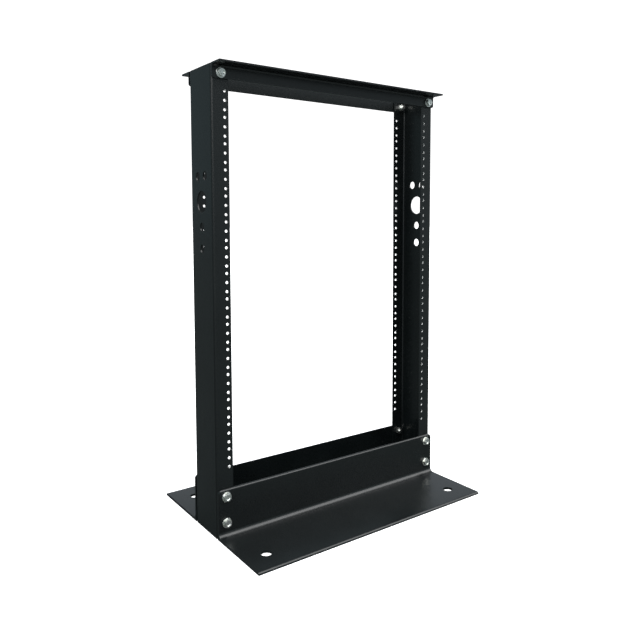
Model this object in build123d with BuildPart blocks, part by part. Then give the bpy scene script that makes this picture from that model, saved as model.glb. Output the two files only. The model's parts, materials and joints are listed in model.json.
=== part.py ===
"""Two post open frame rack: two channel posts joined by two top angles and two base angles."""
import os

from build123d import *

os.makedirs("parts", exist_ok=True)

# Rack unit sizes of the 19 inch standard, in millimetres
UNITS = 15
UNIT_HEIGHT = 44.45
UNIT_EDGE = 6.35
CLEAR_OPENING = 450.85
HOLE_INSET = 7.145
MOUNT_HOLE_D = 5.0

# Channel posts
POST_DEPTH = 88.9
FLANGE_WIDTH = 31.75
POST_T = 2.66
POST_BEND = 3.5
UNITS_FROM_FLOOR = 120.65
TOP_MARGIN = 38.1
HEIGHT = UNITS_FROM_FLOOR + UNITS * UNIT_HEIGHT + TOP_MARGIN
POST_X = CLEAR_OPENING / 2 + FLANGE_WIDTH
HOLE_X = CLEAR_OPENING / 2 + HOLE_INSET

# Cable holes in the webs: a pair side by side, a big one and two small ones below
WEB_HOLE_D = 15.9
WEB_BIG_D = 38.1
WEB_PAIR_DROP = 187.3
WEB_PAIR_OFF = 14.3
WEB_BIG_PITCH = 44.45
WEB_LOW_PITCH = 44.45
WEB_LAST_PITCH = 38.1

# Angles, as long as the rack is wide
ANGLE_LENGTH = 2 * POST_X

# Top angles
TOP_UP = 25.4
TOP_OUT = 31.75
TOP_T = 3.2
TOP_ROOT = 3.2
TOP_TOE = 0.6
TOP_CORNER = 4.0

# Base angles
BASE_UP = 88.9
BASE_OUT = 146.05
BASE_T = 4.76
BASE_ROOT = 9.0
BASE_TOE = 3.8
BASE_CORNER = 8.0

# Floor anchor holes in the base angles
ANCHOR_D = 19.05
ANCHOR_FROM_END = 41.275
ANCHOR_FROM_TOE = 47.6

# Bolts, washers and nuts
BOLT_D = 7.94
BOLT_LENGTH = 19.05
BOLT_HEAD = 5.2
HEX_FLATS = 12.7
WASHER_D = 17.4
WASHER_T = 1.65
NUT_T = 6.75
BOLT_CLEAR = 0.8
NUT_CLEAR = 0.3
BOLT_X = POST_X - FLANGE_WIDTH / 2

# Room between a washer and the root or toe of the angle's upright leg
TOP_WASHER_ROOM = 0.8
BASE_WASHER_ROOM = 0.6
BASE_WASHER_LIFT = 6.2

# Small round things that repeat have few sides
HOLE_SIDES = 10
SHANK_SIDES = 8
WASHER_SIDES = 16

# Height of each row of bolts, and the thickness of the leg that it clamps
BOLT_ROWS = {
    "top": (HEIGHT - TOP_T - TOP_ROOT - TOP_WASHER_ROOM - WASHER_D / 2, TOP_T),
    "base_upper": (BASE_UP - BASE_TOE - BASE_WASHER_ROOM - WASHER_D / 2, BASE_T),
    "base_lower": (BASE_T + BASE_ROOT + BASE_WASHER_LIFT + WASHER_D / 2, BASE_T),
}
SIDES = {"left": -1, "right": 1}
FACES = {"front": -1, "rear": 1}


def save(piece, name):
    """Labels a finished piece and writes it to its own file."""
    piece.label = name
    export_step(piece, f"parts/{name}.step")


def upright_plane(face, out):
    """Upright plane that faces front or rear, the given distance out from the rack's middle."""
    return Plane(origin=(0, face * out, 0), x_dir=(-face, 0, 0), z_dir=(0, face, 0))


def mount_hole_heights():
    """Heights of one column's mounting holes, three to each unit, parted into fully round ones and the rest.
    The outer two holes of the lowest, middle and highest unit are fully round."""
    measured = (0, UNITS // 2, UNITS - 1)
    rises = (UNIT_EDGE, UNIT_HEIGHT / 2, UNIT_HEIGHT - UNIT_EDGE)
    fully_round = []
    rest = []
    for unit in range(UNITS):
        for step, rise in enumerate(rises):
            height = UNITS_FROM_FLOOR + unit * UNIT_HEIGHT + rise
            if unit in measured and step != 1:
                fully_round.append(height)
            else:
                rest.append(height)
    return fully_round, rest


def make_post(side):
    """Channel post with its web outside and both flanges towards the middle of the rack."""
    tip = side * CLEAR_OPENING / 2
    back = side * POST_X
    inner_back = side * (POST_X - POST_T)
    half = POST_DEPTH / 2
    inner_half = half - POST_T
    fully_round, rest = mount_hole_heights()
    with BuildPart() as post:
        with BuildSketch(Plane.XY):
            with BuildLine():
                FilletPolyline((tip, half), (back, half), (back, -half), (tip, -half), radius=POST_BEND + POST_T)
                Line((tip, -half), (tip, -inner_half))
                FilletPolyline(
                    (tip, -inner_half),
                    (inner_back, -inner_half),
                    (inner_back, inner_half),
                    (tip, inner_half),
                    radius=POST_BEND,
                )
                Line((tip, inner_half), (tip, half))
            make_face()
        extrude(amount=HEIGHT)
        # Mounting holes and bolt holes, through both flanges at once
        with BuildSketch(upright_plane(-1, half)):
            with Locations(*[(side * HOLE_X, z) for z in fully_round]):
                Circle(MOUNT_HOLE_D / 2)
            with Locations(*[(side * HOLE_X, z) for z in rest]):
                RegularPolygon(MOUNT_HOLE_D / 2, HOLE_SIDES, major_radius=False)
            with Locations(*[(side * BOLT_X, z) for z, _ in BOLT_ROWS.values()]):
                RegularPolygon((BOLT_D + BOLT_CLEAR) / 2, SHANK_SIDES, major_radius=False)
        extrude(amount=-POST_DEPTH, mode=Mode.SUBTRACT)
        # Cable holes through the web, from the pair down
        big_drop = WEB_PAIR_DROP + WEB_BIG_PITCH
        low_drop = big_drop + WEB_LOW_PITCH
        with BuildSketch(Plane(origin=(back, 0, HEIGHT), x_dir=(0, side, 0), z_dir=(side, 0, 0))):
            with Locations((-WEB_PAIR_OFF, -WEB_PAIR_DROP), (WEB_PAIR_OFF, -WEB_PAIR_DROP)):
                Circle(WEB_HOLE_D / 2)
            with Locations((0, -big_drop)):
                Circle(WEB_BIG_D / 2)
            with Locations((0, -low_drop), (0, -low_drop - WEB_LAST_PITCH)):
                Circle(WEB_HOLE_D / 2)
        extrude(amount=-FLANGE_WIDTH, mode=Mode.SUBTRACT)
    return post.part


def make_angle(face, level, up, out, thick, root, toe, corner):
    """Angle along the rack's width with its heel on the posts at the given level; a negative up is a leg going down."""
    heel = face * POST_DEPTH / 2
    rise = thick if up > 0 else -thick
    with BuildPart() as angle:
        with BuildSketch(Plane.YZ) as profile:
            with BuildLine():
                Polyline(
                    (heel, level),
                    (heel + face * out, level),
                    (heel + face * out, level + rise),
                    (heel + face * thick, level + rise),
                    (heel + face * thick, level + up),
                    (heel, level + up),
                    close=True,
                )
            make_face()
            fillet(profile.vertices().sort_by_distance((heel + face * thick, level + rise))[0], root)
            fillet(profile.vertices().sort_by_distance((heel + face * out, level + rise))[0], toe)
            fillet(profile.vertices().sort_by_distance((heel + face * thick, level + up))[0], toe)
        extrude(amount=ANGLE_LENGTH / 2, both=True)
        # Rounded end corners of the upright leg
        with BuildSketch(upright_plane(face, POST_DEPTH / 2)) as upright:
            with Locations((0, level + up / 2)):
                Rectangle(ANGLE_LENGTH, abs(up))
            fillet(upright.vertices().group_by(Axis.Y)[-1 if up > 0 else 0], corner)
        extrude(amount=out, mode=Mode.INTERSECT)
        # Holes for the bolts that pass through the upright leg
        low, high = sorted((level, level + up))
        rows = [z for z, _ in BOLT_ROWS.values() if low < z < high]
        with BuildSketch(upright_plane(face, POST_DEPTH / 2)):
            with Locations(*[(side * BOLT_X, z) for side in SIDES.values() for z in rows]):
                RegularPolygon((BOLT_D + BOLT_CLEAR) / 2, SHANK_SIDES, major_radius=False)
        extrude(amount=thick, mode=Mode.SUBTRACT)
    return angle.part


def make_top_angle(face):
    """Top angle, level with the posts' tops, its upright leg hanging down against their flanges."""
    return make_angle(face, HEIGHT, -TOP_UP, TOP_OUT, TOP_T, TOP_ROOT, TOP_TOE, TOP_CORNER)


def make_base_angle(face):
    """Base angle with its flat leg on the floor and two anchor holes in it."""
    blank = make_angle(face, 0, BASE_UP, BASE_OUT, BASE_T, BASE_ROOT, BASE_TOE, BASE_CORNER)
    anchor_x = ANGLE_LENGTH / 2 - ANCHOR_FROM_END
    anchor_y = face * (POST_DEPTH / 2 + BASE_OUT - ANCHOR_FROM_TOE)
    with BuildPart() as base:
        add(blank)
        with BuildSketch(Plane.XY):
            with Locations((-anchor_x, anchor_y), (anchor_x, anchor_y)):
                Circle(ANCHOR_D / 2)
        extrude(amount=BASE_T, mode=Mode.SUBTRACT)
    return base.part


def make_bolt(face, x, z, leg):
    """Hex bolt with its head outside and its shank through washer, angle, flange and nut."""
    seat = POST_DEPTH / 2 + leg + WASHER_T
    with BuildPart() as bolt:
        with BuildSketch(upright_plane(face, seat)):
            with Locations((-face * x, z)):
                RegularPolygon(HEX_FLATS / 2, 6, major_radius=False)
        extrude(amount=BOLT_HEAD)
        with BuildSketch(upright_plane(face, seat)):
            with Locations((-face * x, z)):
                RegularPolygon(BOLT_D / 2, SHANK_SIDES)
        extrude(amount=-BOLT_LENGTH)
    return bolt.part


def make_washer(face, x, z, leg):
    """Flat washer between bolt head and angle."""
    with BuildPart() as washer:
        with BuildSketch(upright_plane(face, POST_DEPTH / 2 + leg)):
            with Locations((-face * x, z)):
                RegularPolygon(WASHER_D / 2, WASHER_SIDES)
                RegularPolygon((BOLT_D + BOLT_CLEAR) / 2, SHANK_SIDES, major_radius=False, mode=Mode.SUBTRACT)
        extrude(amount=WASHER_T)
    return washer.part


def make_nut(face, x, z):
    """Hex nut on the inner side of the flange."""
    with BuildPart() as nut:
        with BuildSketch(upright_plane(face, POST_DEPTH / 2 - POST_T)):
            with Locations((-face * x, z)):
                RegularPolygon(HEX_FLATS / 2, 6, major_radius=False)
                RegularPolygon((BOLT_D + NUT_CLEAR) / 2, SHANK_SIDES, major_radius=False, mode=Mode.SUBTRACT)
        extrude(amount=-NUT_T)
    return nut.part


for side_name, side in SIDES.items():
    save(make_post(side), f"post_{side_name}")

for face_name, face in FACES.items():
    save(make_top_angle(face), f"top_angle_{face_name}")
    save(make_base_angle(face), f"base_angle_{face_name}")

for face_name, face in FACES.items():
    for side_name, side in SIDES.items():
        for row, (z, leg) in BOLT_ROWS.items():
            place = f"{face_name}_{side_name}_{row}"
            save(make_bolt(face, side * BOLT_X, z, leg), f"bolt_{place}")
            save(make_washer(face, side * BOLT_X, z, leg), f"washer_{place}")
            save(make_nut(face, side * BOLT_X, z), f"nut_{place}")
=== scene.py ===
"""Looks of the two post open frame rack: coated steel, plated hardware and a plain pale studio."""
import json
import math

import bmesh
import bpy
from bpy.props import FloatProperty, FloatVectorProperty, IntProperty, PointerProperty
from mathutils import Matrix, Vector


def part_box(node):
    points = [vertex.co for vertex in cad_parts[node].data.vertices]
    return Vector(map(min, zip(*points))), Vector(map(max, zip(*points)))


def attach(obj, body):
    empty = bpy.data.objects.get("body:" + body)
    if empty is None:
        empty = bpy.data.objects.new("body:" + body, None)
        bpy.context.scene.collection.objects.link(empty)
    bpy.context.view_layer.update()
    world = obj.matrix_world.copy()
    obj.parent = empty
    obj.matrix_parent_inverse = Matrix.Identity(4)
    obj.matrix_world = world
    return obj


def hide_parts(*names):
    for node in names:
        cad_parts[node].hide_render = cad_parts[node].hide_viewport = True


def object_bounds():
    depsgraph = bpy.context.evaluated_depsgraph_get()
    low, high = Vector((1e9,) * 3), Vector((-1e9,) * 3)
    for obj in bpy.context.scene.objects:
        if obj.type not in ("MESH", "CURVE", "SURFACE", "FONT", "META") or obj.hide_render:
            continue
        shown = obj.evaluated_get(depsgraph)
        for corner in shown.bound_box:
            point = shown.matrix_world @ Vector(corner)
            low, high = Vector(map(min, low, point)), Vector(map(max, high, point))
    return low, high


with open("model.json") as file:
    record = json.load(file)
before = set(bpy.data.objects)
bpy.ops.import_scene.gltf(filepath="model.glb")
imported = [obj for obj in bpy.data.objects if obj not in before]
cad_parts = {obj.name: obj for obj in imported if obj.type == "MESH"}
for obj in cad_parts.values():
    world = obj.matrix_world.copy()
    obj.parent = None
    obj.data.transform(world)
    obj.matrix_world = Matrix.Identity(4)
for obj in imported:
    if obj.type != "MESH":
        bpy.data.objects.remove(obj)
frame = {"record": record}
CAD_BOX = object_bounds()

bl_info = {
    "name": "Open frame rack",
    "version": (1, 0, 0),
    "blender": (4, 5, 0),
    "location": "3D View > Sidebar > Rack",
    "description": "Models and finishes a two post open frame rack around its solids",
    "category": "Add Mesh",
}

MM = 0.001

# Points nearer than this are merged
NEAR = 1e-5

# Faces that meet at more than the first angle have a sharp edge, and at less than the second are level
SHARP = math.radians(40)
LEVEL = math.radians(0.5)

# Turns of a bar along the rack's height, depth and width, and the turn from one side to the other
UPRIGHT = (0, 0, 0)
ACROSS = (math.pi / 2, 0, 0)
SIDEWAYS = (0, math.pi / 2, 0)
HALF_TURN = Matrix.Rotation(math.pi, 4, "Z")

# Boxes of the nodes that give the rack its sizes
POST_LOW, POST_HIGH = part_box("post_left")
TOP_LOW, TOP_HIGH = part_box("top_angle_front")
BASE_LOW, BASE_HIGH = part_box("base_angle_front")
BOLT_LOW, BOLT_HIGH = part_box("bolt_front_left_top")
WASHER_LOW, WASHER_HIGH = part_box("washer_front_left_top")
NUT_LOW, NUT_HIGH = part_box("nut_front_left_top")
BASE_WASHER_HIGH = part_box("washer_front_left_base_upper")[1]

# Mounts of the record that give the places of the holes
MOUNTS = {mount["name"]: mount for mount in frame["record"]["mounts"]}
LOW_UNIT = MOUNTS["equipment_unit_low"]
HIGH_UNIT = MOUNTS["equipment_unit_high"]
ANCHORS = MOUNTS["floor_anchors"]

# Rack units of the equipment standard, each with three holes a side
UNIT_HEIGHT = 44.45 * MM
HOLE_PITCH = 15.875 * MM
HOLE_RISES = (-HOLE_PITCH, 0, HOLE_PITCH)
UNITS = round((HIGH_UNIT["pos_m"][2] - LOW_UNIT["pos_m"][2]) / UNIT_HEIGHT) + 1

# Length of a bar that drills an angle, in hole diameters or leg thicknesses
DRILL_REACH = 8

# Places of the bolts
FACES = ("front", "rear")
SIDES = ("left", "right")
ROWS = ("top", "base_upper", "base_lower")
PLACES = [(face, f"{face}_{side}_{row}") for face in FACES for side in SIDES for row in ROWS]

# Slope of a hex block's chamfer, and shares of its width across flats
CHAMFER_SLOPE = math.radians(30)
CHAMFER_FLAT = 0.475
CHAMFER_REACH = 0.6
DIMPLE_RIM = 0.16
DIMPLE_WALL = 0.07

# Turn of the first bolt and of the first nut, and how much further each next one is turned
BOLT_TURN = math.radians(17)
NUT_TURN = math.radians(252)
TURN_STEP = math.radians(47)

# One turn of the bolt's thread: crest or root, and the share of the pitch
THREAD_TURN = (("crest", 0), ("crest", 0.12), ("root", 0.45), ("root", 0.6), ("crest", 0.93), ("crest", 1))

# Directions from which the lights shine
OVERHEAD = (-0.2, -0.25, 0.95)
FRONT_RIGHT = (0.5, -0.4, 0.75)
FRONT_LEFT = (-0.75, -0.35, 0.75)

# Levels of the direction's rise, or of its run ahead, between which ceiling and backdrop blend in
CEILING_RISE = (0.2, 0.9)
BACKDROP_RISE = (0.5, 0.25)
BACKDROP_AHEAD = (0.6, 0.9)

# Radius of the floor, and the stretch from front to rear over which its painted reflection darkens as
# painted shade, in metres
FLOOR_RADIUS = 40
PAINTED_REFLECTION_FADE = (-0.45, 0)

# Width of the camera's sensor in millimetres
SENSOR = 36


# Settings


def length(name, description, default):
    """Length property in metres."""
    return FloatProperty(
        name=name, description=description, default=default, min=0, precision=5, unit="LENGTH"
    )


def shade(name, description, default):
    """Colour property."""
    return FloatVectorProperty(
        name=name, description=description, default=default, size=3, min=0, max=1, subtype="COLOR"
    )


def factor(name, description, default):
    """Share from nothing to all."""
    return FloatProperty(
        name=name, description=description, default=default, min=0, max=1, subtype="FACTOR"
    )


def degrees(name, description, default):
    """Angle property, its default given in degrees."""
    return FloatProperty(
        name=name, description=description, default=math.radians(default), subtype="ANGLE"
    )


def power(name, description, default):
    """Strength of a light."""
    return FloatProperty(name=name, description=description, default=default, min=0)


def pixels(name, description, default):
    """Measure in pixels of the image."""
    return FloatProperty(name=name, description=description, default=default, subtype="PIXEL")


class RackFrameSizes(bpy.types.PropertyGroup):
    """Sizes of the posts and angles that their boxes do not give."""

    sheet: length("Post sheet", "Thickness of the bent post", NUT_LOW.y - POST_LOW.y)
    bend: length("Post bend", "Inner radius of the post's bends", 3.5 * MM)
    hole: length("Mounting hole", "Diameter of the equipment holes", 2 * LOW_UNIT["dims"]["hole_r_mm"] * MM)
    bolt_hole: length("Bolt hole", "Diameter of the holes for the frame's bolts", 8.74 * MM)
    cable_hole: length("Cable hole", "Diameter of the small holes in the web", 15.9 * MM)
    cable_big: length("Big cable hole", "Diameter of the big hole in the web", 38.1 * MM)
    pair_drop: length("Pair drop", "From the post's top down to the pair of cable holes", 187.3 * MM)
    pair_off: length("Pair offset", "From the web's middle to each hole of the pair", 14.3 * MM)
    big_pitch: length("Big hole pitch", "From the pair down to the big hole", 44.45 * MM)
    low_pitch: length("Low hole pitch", "From the big hole down to the first low hole", 44.45 * MM)
    last_pitch: length("Last hole pitch", "From the first low hole down to the last", 38.1 * MM)
    top_leg: length("Top angle leg", "Thickness of the top angle", POST_LOW.y - WASHER_HIGH.y)
    top_root: length("Top angle root", "Radius inside the top angle's fold", 3.2 * MM)
    top_toe: length("Top angle toe", "Radius along the top angle's edges", 0.6 * MM)
    top_corner: length("Top angle corner", "Radius of the upright leg's end corners", 4 * MM)
    base_leg: length("Base angle leg", "Thickness of the base angle", POST_LOW.y - BASE_WASHER_HIGH.y)
    base_root: length("Base angle root", "Radius inside the base angle's fold", 9 * MM)
    base_toe: length("Base angle toe", "Radius along the base angle's edges", 3.8 * MM)
    base_corner: length("Base angle corner", "Radius of the upright leg's end corners", 8 * MM)
    anchor: length("Anchor hole", "Diameter of the anchor holes", 2 * ANCHORS["dims"]["hole_r_mm"] * MM)
    easing: length("Eased edge", "Radius that the coat gives to sheared edges", 0.35 * MM)


class RackHardwareSizes(bpy.types.PropertyGroup):
    """Sizes of the bolts, washers and nuts that their boxes do not give."""

    shank: length("Shank", "Diameter over the bolt's thread", 7.9 * MM)
    pitch: length("Thread pitch", "From one turn of the thread to the next", 1.411 * MM)
    thread: length("Thread depth", "Depth of the thread's groove", 0.75 * MM)
    dimple: length("Head dimple", "Depth of the dimple in the bolt's head", 0.9 * MM)
    washer_hole: length("Washer hole", "Diameter of the hole in the washer", 8.7 * MM)
    washer_round: length("Washer rim", "Radius of the washer's stamped rim", 0.4 * MM)
    nut_bore: length("Nut bore", "Diameter of the hole in the nut", 8.1 * MM)
    nut_flare: length("Nut flare", "Width of the bevel at each end of the nut's bore", 0.6 * MM)
    easing: length("Eased edge", "Radius along the edges of the hardware", 0.14 * MM)


class RackFinish(bpy.types.PropertyGroup):
    """Colours and gloss of the coat and the plating."""

    coat_deep: shade("Coat, deep", "Darker tone of the black powder coat", (0.0020, 0.0031, 0.0033))
    coat_pale: shade("Coat, pale", "Lighter tone of the black powder coat", (0.0033, 0.0047, 0.0050))
    coat_gloss: factor("Coat gloss", "Specular level of the powder coat", 0.45)
    coat_smooth: factor("Coat, smooth", "Roughness of the smoother patches of the coat", 0.26)
    coat_rough: factor("Coat, rough", "Roughness of the rougher patches of the coat", 0.36)
    zinc_bright: shade("Zinc, bright", "Bright tone of the zinc plate", (0.80, 0.81, 0.80))
    zinc_tinted: shade("Zinc, tinted", "Faintly tinted tone of the zinc plate", (0.66, 0.68, 0.60))
    zinc_smooth: factor("Zinc, smooth", "Roughness of the smoother zinc plate", 0.22)
    zinc_rough: factor("Zinc, rough", "Roughness of the duller zinc plate", 0.42)
    thread_tone: shade("Bare thread", "Tone of the bare steel in the tapped holes", (0.92, 0.92, 0.90))
    # Painted shade: the thread's valleys are coloured darker than its crests
    thread_valley_shade: factor("Thread valley", "Tone of the thread's valleys as a share of its crests", 0.7)
    thread_pitch: length("Hole thread", "From one turn of the holes' thread to the next", 1.058 * MM)


class RackStage(bpy.types.PropertyGroup):
    """Camera, floor and light."""

    camera_place: FloatVectorProperty(
        name="Camera place", description="Where the camera stands", default=(-0.7482, -1.0694, 0.5662),
        size=3, subtype="TRANSLATION", unit="LENGTH",
    )
    heading: degrees("Heading", "Turn of the camera to the right of straight ahead", 36.97)
    pitch: degrees("Pitch", "Turn of the camera down from level", 4.14)
    focal_pixels: pixels("Focal pixels", "Focal length in pixels of the image", 654.3)
    centre_x: pixels("Centre across", "Pixel column straight ahead of the camera", 345)
    centre_y: pixels("Centre down", "Pixel row straight ahead of the camera", 265)
    image_side: IntProperty(
        name="Image side", description="Side of the square image in pixels", default=640, subtype="PIXEL"
    )
    floor_tone: shade("Floor", "Colour of the pale floor", (0.86, 0.86, 0.86))
    floor_mottle: factor("Floor mottle", "Tone of the floor's darker patches as a share of the rest", 0.98)
    # Painted reflection: the floor's dim tone in the rack's coat, darker at the rear as painted shade
    painted_front_reflection: shade("Mirrored floor, front", "Floor before the rack in its coat", (0.13, 0.15, 0.15))
    painted_rear_reflection: shade("Mirrored floor, rear", "Floor behind the rack in its coat", (0.06, 0.07, 0.07))
    floor_glow: factor("Floor glow", "Light that keeps the floor white around the rack", 0.6)
    room_front: shade("Room, front", "Light of the studio in front of the rack", (0.42, 0.49, 0.52))
    room_rear: shade("Room, rear", "Light of the studio behind the rack", (0.14, 0.20, 0.215))
    room_high: shade("Room, high", "Light of the studio overhead", (0.28, 0.31, 0.33))
    backdrop_light: shade("Backdrop", "Light of the backdrop, low behind the rack", (0.80, 0.85, 0.92))
    backdrop_glow: power("Backdrop glow", "Strength of the white backdrop behind the rack", 1.3)
    sky_strength: power("Soft light", "Strength of the overhead light", 1.6)
    sky_spread: degrees("Light spread", "Width of the overhead light as seen from the rack", 70)
    key_strength: power("Key light", "Strength of the front right light", 2.6)
    key_spread: degrees("Key spread", "Width of the front right light as seen from the rack", 50)
    fill_strength: power("Fill light", "Strength of the front left light", 2.6)
    fill_spread: degrees("Fill spread", "Width of the front left light as seen from the rack", 63)


# Modelling tools


def select_only(piece):
    """Leaves one object selected and active."""
    bpy.ops.object.select_all(action="DESELECT")
    piece.select_set(True)
    bpy.context.view_layer.objects.active = piece


def pick_points(piece, wanted):
    """Selects the points of the mesh being edited that pass the test."""
    mesh = bmesh.from_edit_mesh(piece.data)
    for point in mesh.verts:
        point.select_set(wanted(point.co))
    mesh.select_flush_mode()
    bmesh.update_edit_mesh(piece.data)


def pick_faces(piece, wanted):
    """Selects the faces of the mesh being edited that pass the test."""
    bpy.ops.mesh.select_mode(type="FACE")
    bpy.ops.mesh.select_all(action="DESELECT")
    mesh = bmesh.from_edit_mesh(piece.data)
    for face in mesh.faces:
        face.select_set(wanted(face))
    bmesh.update_edit_mesh(piece.data)


def trace(name, points):
    """Draws a line from point to point, as a new object in edit mode."""
    bpy.ops.object.select_all(action="DESELECT")
    bpy.ops.mesh.primitive_plane_add(size=MM)
    piece = bpy.context.active_object
    piece.name = name
    bpy.ops.object.mode_set(mode="EDIT")
    bpy.ops.mesh.select_mode(type="VERT")
    bpy.ops.mesh.select_all(action="SELECT")
    bpy.ops.mesh.merge(type="CENTER")
    bpy.ops.transform.translate(value=points[0])
    for start, end in zip(points, points[1:]):
        bpy.ops.mesh.extrude_vertices_move(TRANSFORM_OT_translate={"value": end - start})
    return piece


def sweep_section(name, outline, rounds, along):
    """Fills an outline, rounds the corners listed with radius and steps, and extrudes it into a bar."""
    piece = trace(name, outline)
    bpy.ops.mesh.select_all(action="SELECT")
    bpy.ops.mesh.edge_face_add()
    for corner, radius, steps in rounds:
        pick_points(piece, lambda place: (place - outline[corner]).length < NEAR)
        bpy.ops.mesh.bevel(offset=radius, segments=steps, affect="VERTICES", clamp_overlap=False)
    bpy.ops.mesh.select_all(action="SELECT")
    bpy.ops.mesh.extrude_region_move(TRANSFORM_OT_translate={"value": along})
    close_skin()
    return piece


def close_skin():
    """Merges doubled points, turns all faces outwards and leaves edit mode."""
    bpy.ops.mesh.select_all(action="SELECT")
    bpy.ops.mesh.remove_doubles(threshold=NEAR / 10)
    bpy.ops.mesh.normals_make_consistent(inside=False)
    bpy.ops.object.mode_set(mode="OBJECT")


def lathe(name, profile, steps):
    """Spins a profile of radius and height about the upright axis into a closed round piece."""
    points = [Vector((radius, 0, height)) for radius, height in profile]
    piece = trace(name, points + points[:1])
    bpy.ops.mesh.select_all(action="SELECT")
    bpy.ops.mesh.spin(steps=steps, angle=math.tau, center=(0, 0, 0), axis=(0, 0, 1))
    close_skin()
    return piece


def round_bars(name, centres, radius, reach, turn, sides=32):
    """Bars for drilling: one round bar through each centre, all in one object."""
    bpy.ops.object.select_all(action="DESELECT")
    for centre in centres:
        bpy.ops.mesh.primitive_cylinder_add(
            vertices=sides, radius=radius, depth=reach, location=centre, rotation=turn
        )
        if bpy.context.mode == "OBJECT":
            bpy.ops.object.transform_apply(location=True, rotation=True, scale=True)
            bpy.context.active_object.name = name
            bpy.ops.object.mode_set(mode="EDIT")
    bpy.ops.object.mode_set(mode="OBJECT")
    return bpy.context.active_object


def join_pieces(pieces):
    """Joins objects into the first of them."""
    select_only(pieces[0])
    for piece in pieces[1:]:
        piece.select_set(True)
    bpy.ops.object.join()
    return pieces[0]


def shape_with(piece, tool, operation):
    """Cuts, joins or trims a piece with a tool object, and puts the tool away."""
    select_only(piece)
    modifier = piece.modifiers.new(operation.title(), "BOOLEAN")
    modifier.operation = operation
    modifier.solver = "EXACT"
    modifier.material_mode = "TRANSFER" if tool.data.materials else "INDEX"
    modifier.object = tool
    bpy.ops.object.modifier_apply(modifier=modifier.name)
    bpy.data.objects.remove(tool)


def merge_level(piece):
    """Merges points that nearly coincide, and faces that are level with each other."""
    select_only(piece)
    bpy.ops.object.mode_set(mode="EDIT")
    bpy.ops.mesh.select_all(action="SELECT")
    bpy.ops.mesh.remove_doubles(threshold=NEAR)
    bpy.ops.mesh.dissolve_limited(angle_limit=LEVEL)
    bpy.ops.object.mode_set(mode="OBJECT")


def ease_edges(piece, radius, steps=2):
    """Rounds the sharp edges a little and keeps the flat faces evenly shaded."""
    merge_level(piece)
    bevel = piece.modifiers.new("Eased edges", "BEVEL")
    bevel.width = radius
    bevel.segments = steps
    bevel.limit_method = "ANGLE"
    bevel.angle_limit = SHARP
    bpy.ops.object.modifier_apply(modifier=bevel.name)
    shade_evenly(piece)


def shade_evenly(piece):
    """Smooths all but the sharp edges, with the flat faces flat."""
    select_only(piece)
    bpy.ops.object.shade_smooth_by_angle(angle=SHARP)
    normals = piece.modifiers.new("Even shading", "WEIGHTED_NORMAL")
    normals.weight = 100
    normals.keep_sharp = True
    bpy.ops.object.modifier_apply(modifier=normals.name)


def copy_piece(piece, name, place):
    """Copies a piece with a mesh of its own and sets the copy in its place."""
    select_only(piece)
    bpy.ops.object.duplicate(linked=False)
    copy = bpy.context.active_object
    copy.name = name
    copy.data.name = name
    copy.matrix_world = place
    bpy.ops.object.transform_apply(location=True, rotation=True, scale=True)
    return copy


def stand_for(piece, node, finish):
    """Gives a piece its main finish and lets it stand for its node."""
    if not piece.data.materials:
        piece.data.materials.append(finish)
    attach(piece, "root")
    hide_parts(node)


# Finishes


def add_node(tree, kind, inputs=None, **settings):
    """Adds a shader node with its settings and input values."""
    node = tree.nodes.new(kind)
    for name, value in settings.items():
        setattr(node, name, value)
    for name, value in (inputs or {}).items():
        node.inputs[name].default_value = value
    return node


def start_finish(name):
    """New material with its shader and the place on the piece."""
    finish = bpy.data.materials.new(name)
    finish.use_nodes = True
    tree = finish.node_tree
    shader = tree.nodes["Principled BSDF"]
    place = add_node(tree, "ShaderNodeTexCoord")
    return finish, tree, shader, place.outputs["Object"]


def spread(tree, value, low, high):
    """Spreads a value from 0 to 1 between two levels, and stops there."""
    reach = add_node(tree, "ShaderNodeMapRange", {"From Min": low, "From Max": high}, clamp=True)
    tree.links.new(value, reach.inputs["Value"])
    return reach.outputs["Result"]


def cloud(tree, place, scale, detail, low, high):
    """Soft noise of the given fineness, spread from 0 to 1 between two levels."""
    noise = add_node(tree, "ShaderNodeTexNoise", {"Scale": scale, "Detail": detail, "Roughness": 0.55})
    tree.links.new(place, noise.inputs["Vector"])
    return spread(tree, noise.outputs["Fac"], low, high)


def blend_tones(tree, amount, first, second):
    """Colour between two tones, each a fixed colour or another node's output."""
    mix = add_node(tree, "ShaderNodeMix", data_type="RGBA")
    sockets = [socket for socket in mix.inputs if socket.type == "RGBA"]
    for socket, tone in zip(sockets, (first, second)):
        if isinstance(tone, bpy.types.NodeSocket):
            tree.links.new(tone, socket)
        else:
            socket.default_value = (*tone, 1)
    tree.links.new(amount, mix.inputs["Factor"])
    return next(socket for socket in mix.outputs if socket.type == "RGBA")


def blend_levels(tree, amount, first, second):
    """Number between two levels."""
    mix = add_node(tree, "ShaderNodeMapRange", {"To Min": first, "To Max": second})
    tree.links.new(amount, mix.inputs["Value"])
    return mix.outputs["Result"]


def add_relief(tree, shader, heights):
    """Chains bumps of the given height fields, depths and strengths into the shader."""
    before = None
    for height, depth, strength in heights:
        bump = add_node(tree, "ShaderNodeBump", {"Strength": strength, "Distance": depth})
        tree.links.new(height, bump.inputs["Height"])
        if before:
            tree.links.new(before, bump.inputs["Normal"])
        before = bump.outputs["Normal"]
    tree.links.new(before, shader.inputs["Normal"])


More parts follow.
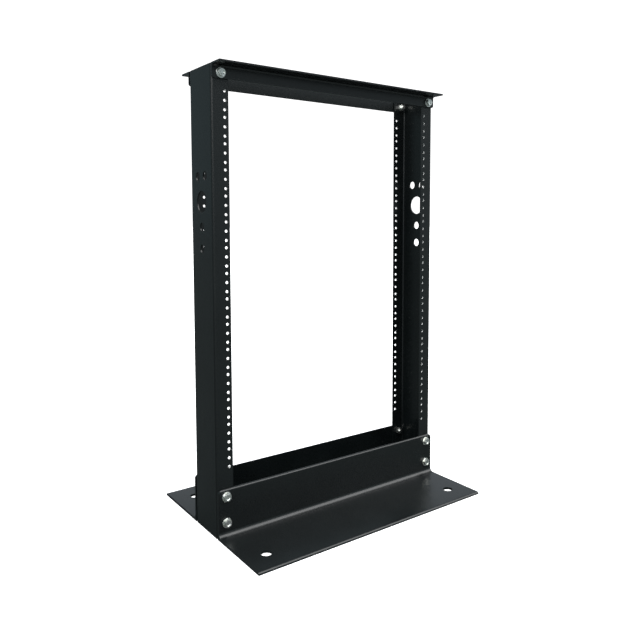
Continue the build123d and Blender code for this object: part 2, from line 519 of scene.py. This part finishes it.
def powder_coat(look):
    """Black satin powder coat: orange peel, a fine grain and faint cloudy patches."""
    finish, tree, shader, place = start_finish("satin_powder_coat")
    patches = cloud(tree, place, scale=14, detail=4, low=0.3, high=0.7)
    peel = cloud(tree, place, scale=420, detail=2, low=0.25, high=0.75)
    grain = cloud(tree, place, scale=2200, detail=1, low=0.3, high=0.7)
    tones = blend_tones(tree, patches, look.coat_deep, look.coat_pale)
    tree.links.new(tones, shader.inputs["Base Color"])
    levels = blend_levels(tree, peel, look.coat_smooth, look.coat_rough)
    tree.links.new(levels, shader.inputs["Roughness"])
    shader.inputs["Specular IOR Level"].default_value = look.coat_gloss
    add_relief(tree, shader, ((peel, 0.05 * MM, 0.25), (grain, 0.02 * MM, 0.2)))
    return finish


def zinc_plate(look):
    """Bright zinc plate with a faint tint in patches and a fine dull grain."""
    finish, tree, shader, place = start_finish("bright_zinc_plate")
    tint = cloud(tree, place, scale=160, detail=3, low=0.35, high=0.75)
    dull = cloud(tree, place, scale=700, detail=3, low=0.3, high=0.7)
    grain = cloud(tree, place, scale=3600, detail=2, low=0.3, high=0.7)
    tones = blend_tones(tree, tint, look.zinc_bright, look.zinc_tinted)
    tree.links.new(tones, shader.inputs["Base Color"])
    levels = blend_levels(tree, dull, look.zinc_smooth, look.zinc_rough)
    tree.links.new(levels, shader.inputs["Roughness"])
    shader.inputs["Metallic"].default_value = 1
    add_relief(tree, shader, ((dull, 0.04 * MM, 0.4), (grain, 0.02 * MM, 0.4)))
    return finish


def bare_thread(look):
    """Bare steel of a tapped hole, with the thread's turns as fine ridges along its depth and painted shade
    in their valleys.
    """
    finish, tree, shader, place = start_finish("bare_steel_thread")
    # The wave's phase is twenty times its scale, so this gives one ridge to each turn
    fineness = math.tau / 20 / look.thread_pitch
    turns = add_node(tree, "ShaderNodeTexWave", {"Scale": fineness}, bands_direction="Y")
    tree.links.new(place, turns.inputs["Vector"])
    # Painted shade: the valleys between the thread's turns get a darker colour
    valley = [look.thread_valley_shade * tone for tone in look.thread_tone]
    tones = blend_tones(tree, turns.outputs["Fac"], valley, look.thread_tone)
    tree.links.new(tones, shader.inputs["Base Color"])
    shader.inputs["Metallic"].default_value = 0.2
    shader.inputs["Roughness"].default_value = 0.5
    add_relief(tree, shader, ((turns.outputs["Fac"], 0.3 * MM, 0.6),))
    return finish


def pale_floor(stage):
    """Pale matt floor with a barely seen mottle, glowing for the camera, with a painted reflection: dim for
    all other rays and darker toward the rear as painted shade.
    """
    finish, tree, shader, place = start_finish("pale_matt_floor")
    mottle = cloud(tree, place, scale=3, detail=3, low=0.3, high=0.7)
    darker = [stage.floor_mottle * tone for tone in stage.floor_tone]
    pale = blend_tones(tree, mottle, darker, stage.floor_tone)
    split = add_node(tree, "ShaderNodeSeparateXYZ")
    tree.links.new(place, split.inputs["Vector"])
    # Painted reflection and painted shade: all rays but the camera's see the floor dim, darker toward the
    # rear
    rearward = spread(tree, split.outputs["Y"], *PAINTED_REFLECTION_FADE)
    painted_floor_reflection = blend_tones(tree, rearward, stage.painted_front_reflection, stage.painted_rear_reflection)
    seen = add_node(tree, "ShaderNodeLightPath").outputs["Is Camera Ray"]
    tree.links.new(blend_tones(tree, seen, painted_floor_reflection, pale), shader.inputs["Base Color"])
    shader.inputs["Emission Color"].default_value = (1, 1, 1, 1)
    tree.links.new(blend_levels(tree, seen, 0, stage.floor_glow), shader.inputs["Emission Strength"])
    shader.inputs["Roughness"].default_value = 0.9
    shader.inputs["Specular IOR Level"].default_value = 0.1
    return finish


def finish_named(name, make, look):
    """Finds a finish, or makes it the first time it is used."""
    return bpy.data.materials.get(name) or make(look)


def coat(scene):
    """The powder coat of the posts and angles."""
    return finish_named("satin_powder_coat", powder_coat, scene.rack_finish)


def zinc(scene):
    """The zinc plate of the hardware."""
    return finish_named("bright_zinc_plate", zinc_plate, scene.rack_finish)


# Posts and angles


def bolt_centres(rows):
    """Middle of each front bolt of the given rows."""
    boxes = [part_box(f"bolt_front_{side}_{row}") for side in SIDES for row in rows]
    return [(low + high) / 2 for low, high in boxes]


def set_opposite(scene, piece, name, nodes):
    """Copies a coated piece to the opposite side, and lets both stand for their nodes."""
    opposite = copy_piece(piece, name, HALF_TURN)
    for each, node in zip((piece, opposite), nodes):
        stand_for(each, node, coat(scene))


class RACK_OT_posts(bpy.types.Operator):
    """Bends the channel posts, and drills their mounting, bolt and cable holes"""

    bl_idname = "rack.posts"
    bl_label = "Channel posts"

    def execute(self, context):
        sizes = context.scene.rack_frame
        post = self.channel(sizes)
        post.data.materials.append(coat(context.scene))
        taps = self.mounting_bars(sizes)
        taps.data.materials.append(bare_thread(context.scene.rack_finish))
        drills = [self.bolt_bars(sizes), *self.cable_bars(sizes)]
        for bars in drills:
            bars.data.materials.append(coat(context.scene))
        shape_with(post, join_pieces([taps, *drills]), "DIFFERENCE")
        ease_edges(post, sizes.easing)
        set_opposite(context.scene, post, "channel_post_right", ("post_left", "post_right"))
        return {"FINISHED"}

    def channel(self, sizes):
        """Bent channel of the left post, its web outside."""
        back, tip = POST_LOW.x, POST_HIGH.x
        front, rear = POST_LOW.y, POST_HIGH.y
        thick = sizes.sheet
        outline = [
            (tip, front),
            (back, front),
            (back, rear),
            (tip, rear),
            (tip, rear - thick),
            (back + thick, rear - thick),
            (back + thick, front + thick),
            (tip, front + thick),
        ]
        points = [Vector((x, y, POST_LOW.z)) for x, y in outline]
        outer = sizes.bend + thick
        rounds = [(1, outer, 8), (2, outer, 8), (5, sizes.bend, 8), (6, sizes.bend, 8)]
        upward = Vector((0, 0, POST_HIGH.z - POST_LOW.z))
        return sweep_section("channel_post_left", points, rounds, upward)

    def mounting_bars(self, sizes):
        """Bars for the column of mounting holes, three to a unit, through both flanges."""
        column = -LOW_UNIT["dims"]["spacing_x_mm"] * MM / 2
        lowest = LOW_UNIT["pos_m"][2]
        centres = [(column, 0, lowest + rise) for rise in HOLE_RISES]
        reach = 2 * (POST_HIGH.y - POST_LOW.y)
        bars = round_bars("mounting_bars", centres, sizes.hole / 2, reach, ACROSS, sides=28)
        column_up = bars.modifiers.new("Units", "ARRAY")
        column_up.count = UNITS
        column_up.use_relative_offset = False
        column_up.use_constant_offset = True
        column_up.constant_offset_displace = (0, 0, UNIT_HEIGHT)
        bpy.ops.object.modifier_apply(modifier=column_up.name)
        return bars

    def bolt_bars(self, sizes):
        """Bars for the left post's bolt holes, through both flanges."""
        centres = [(place.x, 0, place.z) for place in bolt_centres(ROWS) if place.x < 0]
        reach = 2 * (POST_HIGH.y - POST_LOW.y)
        return round_bars("bolt_bars", centres, sizes.bolt_hole / 2, reach, ACROSS)

    def cable_bars(self, sizes):
        """Bars for the small cable holes and for the big one, through the web alone."""
        x = POST_LOW.x
        pair = POST_HIGH.z - sizes.pair_drop
        big = pair - sizes.big_pitch
        low = big - sizes.low_pitch
        last = low - sizes.last_pitch
        small = [(x, -sizes.pair_off, pair), (x, sizes.pair_off, pair), (x, 0, low), (x, 0, last)]
        reach = POST_HIGH.x - POST_LOW.x
        yield round_bars("cable_bars", small, sizes.cable_hole / 2, reach, SIDEWAYS, sides=40)
        yield round_bars("big_cable_bar", [(x, 0, big)], sizes.cable_big / 2, reach, SIDEWAYS, sides=64)


def bent_angle(name, low, high, leg, root, toe, corner, flat_at_top):
    """Front angle with its heel against the posts, the upright leg's end corners rounded."""
    heel, tip = high.y, low.y
    flat = high.z if flat_at_top else low.z
    edge = low.z if flat_at_top else high.z
    lift = -leg if flat_at_top else leg
    along = Vector((high.x - low.x, 0, 0))
    outline = [
        (heel, flat),
        (tip, flat),
        (tip, flat + lift),
        (heel - leg, flat + lift),
        (heel - leg, edge),
        (heel, edge),
    ]
    points = [Vector((low.x, y, z)) for y, z in outline]
    rounds = [(2, toe, 6), (3, root, 10), (4, toe, 6)]
    angle = sweep_section(name, points, rounds, along)
    past = flat - lift
    corners = [(low.x, edge), (high.x, edge), (high.x, past), (low.x, past)]
    face = [Vector((x, tip - leg, z)) for x, z in corners]
    back = Vector((0, heel - tip + 2 * leg, 0))
    elevation = sweep_section("elevation", face, [(0, corner, 6), (1, corner, 6)], back)
    shape_with(angle, elevation, "INTERSECT")
    return angle


class RACK_OT_top_angles(bpy.types.Operator):
    """Forms the light angles across the top and drills them for their bolts"""

    bl_idname = "rack.top_angles"
    bl_label = "Top angles"

    def execute(self, context):
        sizes = context.scene.rack_frame
        angle = bent_angle(
            "top_angle_bar_front", TOP_LOW, TOP_HIGH,
            sizes.top_leg, sizes.top_root, sizes.top_toe, sizes.top_corner, True,
        )
        centres = bolt_centres(ROWS[:1])
        reach = DRILL_REACH * sizes.bolt_hole
        bars = round_bars("top_bolt_bars", centres, sizes.bolt_hole / 2, reach, ACROSS)
        shape_with(angle, bars, "DIFFERENCE")
        ease_edges(angle, sizes.easing)
        set_opposite(context.scene, angle, "top_angle_bar_rear", ("top_angle_front", "top_angle_rear"))
        return {"FINISHED"}


class RACK_OT_base_angles(bpy.types.Operator):
    """Forms the wide base angles and drills them for their bolts and floor anchors"""

    bl_idname = "rack.base_angles"
    bl_label = "Base angles"

    def execute(self, context):
        sizes = context.scene.rack_frame
        angle = bent_angle(
            "base_angle_plate_front", BASE_LOW, BASE_HIGH,
            sizes.base_leg, sizes.base_root, sizes.base_toe, sizes.base_corner, False,
        )
        centres = bolt_centres(ROWS[1:])
        reach = DRILL_REACH * sizes.bolt_hole
        bars = round_bars("base_bolt_bars", centres, sizes.bolt_hole / 2, reach, ACROSS)
        shape_with(angle, bars, "DIFFERENCE")
        across = ANCHORS["dims"]["spacing_x_mm"] * MM / 2
        out = -ANCHORS["dims"]["spacing_y_mm"] * MM / 2
        holes = [(-across, out, 0), (across, out, 0)]
        reach = DRILL_REACH * sizes.base_leg
        bars = round_bars("anchor_bars", holes, sizes.anchor / 2, reach, UPRIGHT, sides=48)
        shape_with(angle, bars, "DIFFERENCE")
        ease_edges(angle, sizes.easing)
        nodes = ("base_angle_front", "base_angle_rear")
        set_opposite(context.scene, angle, "base_angle_plate_rear", nodes)
        return {"FINISHED"}


# Hardware


def facing(face):
    """Turn that points a piece's upright axis out of the rack's front or rear."""
    return Matrix.Rotation(math.pi / 2 if face == "front" else -math.pi / 2, 4, "X")


def set_hardware(scene, piece, name, node, depth, first_turn=0, turn_step=0):
    """Sets copies of a piece at all places, seated the given depth behind their nodes' outer ends."""
    for index, (face, place) in enumerate(PLACES):
        low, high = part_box(f"{node}_{place}")
        seat = (low + high) / 2
        seat.y = low.y + depth if face == "front" else high.y - depth
        about = Matrix.Rotation(first_turn + index * turn_step, 4, "Z")
        copy = copy_piece(piece, f"{name}_{place}", Matrix.Translation(seat) @ facing(face) @ about)
        stand_for(copy, f"{node}_{place}", zinc(scene))
    bpy.data.objects.remove(piece)


def hex_block(name, flats, height, chamfered_low):
    """Hex prism with its corners chamfered at the top, and at the bottom too if asked."""
    bpy.ops.object.select_all(action="DESELECT")
    bpy.ops.mesh.primitive_cylinder_add(
        vertices=6, radius=flats / math.sqrt(3), depth=height, location=(0, 0, height / 2)
    )
    block = bpy.context.active_object
    block.name = name
    bpy.ops.object.transform_apply(location=True, rotation=True, scale=True)
    flat = CHAMFER_FLAT * flats
    wide = CHAMFER_REACH * flats
    drop = (wide - flat) * math.tan(CHAMFER_SLOPE)
    low = [(0, 0), (flat, 0), (wide, drop)] if chamfered_low else [(0, -height), (wide, -height)]
    profile = [*low, (wide, height - drop), (flat, height), (0, height)]
    shape_with(block, lathe("chamfer_barrel", profile, steps=48), "INTERSECT")
    merge_level(block)
    return block


class RACK_OT_bolts(bpy.types.Operator):
    """Makes a hex bolt with a dimpled head and a cut thread, and sets one at each place"""

    bl_idname = "rack.bolts"
    bl_label = "Hex bolts"

    def execute(self, context):
        sizes = context.scene.rack_hardware
        head_height = WASHER_LOW.y - BOLT_LOW.y
        shank_length = BOLT_HIGH.y - WASHER_LOW.y
        bolt = self.head(sizes, head_height)
        ease_edges(bolt, sizes.easing, steps=1)
        shape_with(bolt, self.shank(sizes, shank_length, head_height), "UNION")
        shade_evenly(bolt)
        set_hardware(context.scene, bolt, "hex_bolt", "bolt", head_height, BOLT_TURN, TURN_STEP)
        return {"FINISHED"}

    def head(self, sizes, height):
        """Chamfered hex head, seat at zero height, with a dimple in its top."""
        flats = BOLT_HIGH.z - BOLT_LOW.z
        head = hex_block("bolt_head", flats, height, False)
        bpy.ops.object.mode_set(mode="EDIT")
        pick_faces(head, lambda face: face.calc_center_median().z > height - NEAR)
        bpy.ops.mesh.inset(thickness=DIMPLE_RIM * flats)
        bpy.ops.mesh.inset(thickness=DIMPLE_WALL * flats, depth=-sizes.dimple)
        bpy.ops.object.mode_set(mode="OBJECT")
        return head

    def shank(self, sizes, reach, head_height):
        """Threaded shank with a chamfered tip, reaching a little into the head."""
        crest = sizes.shank / 2
        root = crest - sizes.thread
        radii = {"crest": crest, "root": root}
        pitch = sizes.pitch
        start = head_height / 2
        turns = math.ceil((start + reach) / pitch) + 2
        top = start + pitch
        groove = [Vector((radii[level], 0, top - share * pitch)) for level, share in THREAD_TURN]
        thread = trace("bolt_thread", groove)
        bpy.ops.object.mode_set(mode="OBJECT")
        screw = thread.modifiers.new("Turns", "SCREW")
        screw.axis = "Z"
        screw.screw_offset = -pitch
        screw.iterations = turns
        screw.steps = screw.render_steps = 28
        bpy.ops.object.modifier_apply(modifier=screw.name)
        bpy.ops.object.mode_set(mode="EDIT")
        bpy.ops.mesh.select_all(action="SELECT")
        bpy.ops.mesh.remove_doubles(threshold=NEAR / 10)
        bpy.ops.mesh.select_all(action="DESELECT")
        bpy.ops.mesh.select_mode(type="EDGE")
        mesh = bmesh.from_edit_mesh(thread.data)
        for edge in mesh.edges:
            edge.select_set(edge.is_boundary)
        bmesh.update_edit_mesh(thread.data)
        bpy.ops.mesh.edge_face_add()
        close_skin()
        wide = crest + MM
        tip = [(0, -reach), (root, -reach), (wide, wide - root - reach), (wide, start), (0, start)]
        shape_with(thread, lathe("tip_barrel", tip, steps=48), "INTERSECT")
        return thread


class RACK_OT_washers(bpy.types.Operator):
    """Stamps a flat washer with a rolled rim and sets one under each bolt head"""

    bl_idname = "rack.washers"
    bl_label = "Flat washers"

    def execute(self, context):
        sizes = context.scene.rack_hardware
        outer = (WASHER_HIGH.z - WASHER_LOW.z) / 2
        inner = sizes.washer_hole / 2
        thick = WASHER_HIGH.y - WASHER_LOW.y
        rim = sizes.washer_round
        rolled = []
        for step in (0, 30, 60, 90):
            slope = math.radians(step)
            rolled.append((outer - rim + rim * math.cos(slope), thick - rim + rim * math.sin(slope)))
        washer = lathe("stamped_washer", [(inner, 0), (outer, 0), *rolled, (inner, thick)], steps=64)
        ease_edges(washer, sizes.easing, steps=1)
        set_hardware(context.scene, washer, "flat_washer", "washer", thick)
        return {"FINISHED"}


class RACK_OT_nuts(bpy.types.Operator):
    """Makes a chamfered hex nut and sets one behind each bolt hole"""

    bl_idname = "rack.nuts"
    bl_label = "Hex nuts"

    def execute(self, context):
        sizes = context.scene.rack_hardware
        height = NUT_HIGH.y - NUT_LOW.y
        nut = hex_block("hex_nut", NUT_HIGH.z - NUT_LOW.z, height, True)
        bore = sizes.nut_bore / 2
        flare = sizes.nut_flare
        profile = [
            (0, -MM),
            (bore + flare + MM, -MM),
            (bore, flare),
            (bore, height - flare),
            (bore + flare + MM, height + MM),
            (0, height + MM),
        ]
        shape_with(nut, lathe("bore_bar", profile, steps=40), "DIFFERENCE")
        ease_edges(nut, sizes.easing, steps=1)
        set_hardware(context.scene, nut, "hex_nut", "nut", height, NUT_TURN, TURN_STEP)
        return {"FINISHED"}


# Studio and sidebar


class RACK_OT_stage(bpy.types.Operator):
    """Lays the pale floor and sets the soft studio light and the camera"""

    bl_idname = "rack.stage"
    bl_label = "Studio stage"

    def execute(self, context):
        scene = context.scene
        stage = scene.rack_stage
        self.floor(stage)
        self.room(scene, stage)
        self.softbox(scene, "overhead_softbox", stage.sky_strength, stage.sky_spread, OVERHEAD)
        self.softbox(scene, "key_softbox", stage.key_strength, stage.key_spread, FRONT_RIGHT)
        self.softbox(scene, "fill_softbox", stage.fill_strength, stage.fill_spread, FRONT_LEFT)
        self.camera(scene, stage)
        scene.view_settings.view_transform = "Standard"
        return {"FINISHED"}

    def floor(self, stage):
        """Wide floor, level with the underside of the base."""
        bpy.ops.object.select_all(action="DESELECT")
        bpy.ops.mesh.primitive_circle_add(
            vertices=96, radius=FLOOR_RADIUS, fill_type="NGON", location=(0, 0, CAD_BOX[0].z)
        )
        floor = bpy.context.active_object
        floor.name = "studio_floor"
        floor.data.materials.append(pale_floor(stage))

    def room(self, scene, stage):
        """Even studio light, brighter in front, with a lit white backdrop behind the rack."""
        world = bpy.data.worlds.new("studio_room")
        scene.world = world
        world.use_nodes = True
        tree = world.node_tree
        tree.nodes.clear()
        direction = add_node(tree, "ShaderNodeTexCoord").outputs["Generated"]
        split = add_node(tree, "ShaderNodeSeparateXYZ")
        tree.links.new(direction, split.inputs["Vector"])
        ahead = add_node(tree, "ShaderNodeVectorMath", operation="DOT_PRODUCT")
        ahead.inputs[1].default_value = (math.sin(stage.heading), math.cos(stage.heading), 0)
        tree.links.new(direction, ahead.inputs[0])
        rearward = spread(tree, split.outputs["Y"], -1, 1)
        upward = spread(tree, split.outputs["Z"], *CEILING_RISE)
        low = spread(tree, split.outputs["Z"], *BACKDROP_RISE)
        behind = spread(tree, ahead.outputs["Value"], *BACKDROP_AHEAD)
        lit = add_node(tree, "ShaderNodeMath", operation="MULTIPLY")
        tree.links.new(low, lit.inputs[0])
        tree.links.new(behind, lit.inputs[1])
        walls = blend_tones(tree, rearward, stage.room_front, stage.room_rear)
        room = blend_tones(tree, upward, walls, stage.room_high)
        tones = blend_tones(tree, lit.outputs["Value"], room, stage.backdrop_light)
        light = add_node(tree, "ShaderNodeBackground")
        tree.links.new(tones, light.inputs["Color"])
        white = {"Color": (1, 1, 1, 1), "Strength": stage.backdrop_glow}
        backdrop = add_node(tree, "ShaderNodeBackground", white)
        seen = add_node(tree, "ShaderNodeLightPath").outputs["Is Camera Ray"]
        mix = add_node(tree, "ShaderNodeMixShader")
        tree.links.new(seen, mix.inputs["Fac"])
        tree.links.new(light.outputs["Background"], mix.inputs[1])
        tree.links.new(backdrop.outputs["Background"], mix.inputs[2])
        out = add_node(tree, "ShaderNodeOutputWorld")
        tree.links.new(mix.outputs["Shader"], out.inputs["Surface"])

    def softbox(self, scene, name, strength, width, toward):
        """Broad soft light that shines from the given direction."""
        light = bpy.data.lights.new(name, "SUN")
        light.energy = strength
        light.angle = width
        lamp = bpy.data.objects.new(name, light)
        lamp.rotation_euler = Vector(toward).to_track_quat("Z", "Y").to_euler()
        scene.collection.objects.link(lamp)

    def camera(self, scene, stage):
        """Camera at the photograph's angle, framed by a small shift."""
        view = bpy.data.cameras.new("view")
        side = stage.image_side
        view.sensor_width = SENSOR
        view.lens = stage.focal_pixels / side * SENSOR
        view.shift_x = (side / 2 - stage.centre_x) / side
        view.shift_y = (stage.centre_y - side / 2) / side
        eye = bpy.data.objects.new("view", view)
        eye.location = stage.camera_place
        eye.rotation_euler = (math.pi / 2 - stage.pitch, 0, -stage.heading)
        scene.collection.objects.link(eye)
        scene.camera = eye


class RACK_PT_sidebar(bpy.types.Panel):
    """Lists the pieces and settings of the rack"""

    bl_label = "Open frame rack"
    bl_idname = "RACK_PT_sidebar"
    bl_space_type = "VIEW_3D"
    bl_region_type = "UI"
    bl_category = "Rack"

    def draw(self, context):
        for operator in OPERATORS:
            self.layout.operator(operator.bl_idname)
        for name in SETTINGS:
            box = self.layout.box()
            group = getattr(context.scene, name)
            for entry in group.bl_rna.properties:
                if not entry.is_readonly and entry.identifier != "name":
                    box.prop(group, entry.identifier)


OPERATORS = (
    RACK_OT_posts,
    RACK_OT_top_angles,
    RACK_OT_base_angles,
    RACK_OT_bolts,
    RACK_OT_washers,
    RACK_OT_nuts,
    RACK_OT_stage,
)
SETTINGS = {
    "rack_frame": RackFrameSizes,
    "rack_hardware": RackHardwareSizes,
    "rack_finish": RackFinish,
    "rack_stage": RackStage,
}
CLASSES = (*SETTINGS.values(), *OPERATORS, RACK_PT_sidebar)


def register():
    """Adds the classes and their settings to Blender."""
    for kind in CLASSES:
        bpy.utils.register_class(kind)
    for name, kind in SETTINGS.items():
        setattr(bpy.types.Scene, name, PointerProperty(type=kind))


def unregister():
    """Takes the settings and classes out again."""
    for name in SETTINGS:
        delattr(bpy.types.Scene, name)
    for kind in reversed(CLASSES):
        bpy.utils.unregister_class(kind)


def main():
    """Makes every piece."""
    register()
    bpy.ops.rack.posts()
    bpy.ops.rack.top_angles()
    bpy.ops.rack.base_angles()
    bpy.ops.rack.bolts()
    bpy.ops.rack.washers()
    bpy.ops.rack.nuts()
    bpy.ops.rack.stage()


if __name__ == "__main__":
    main()
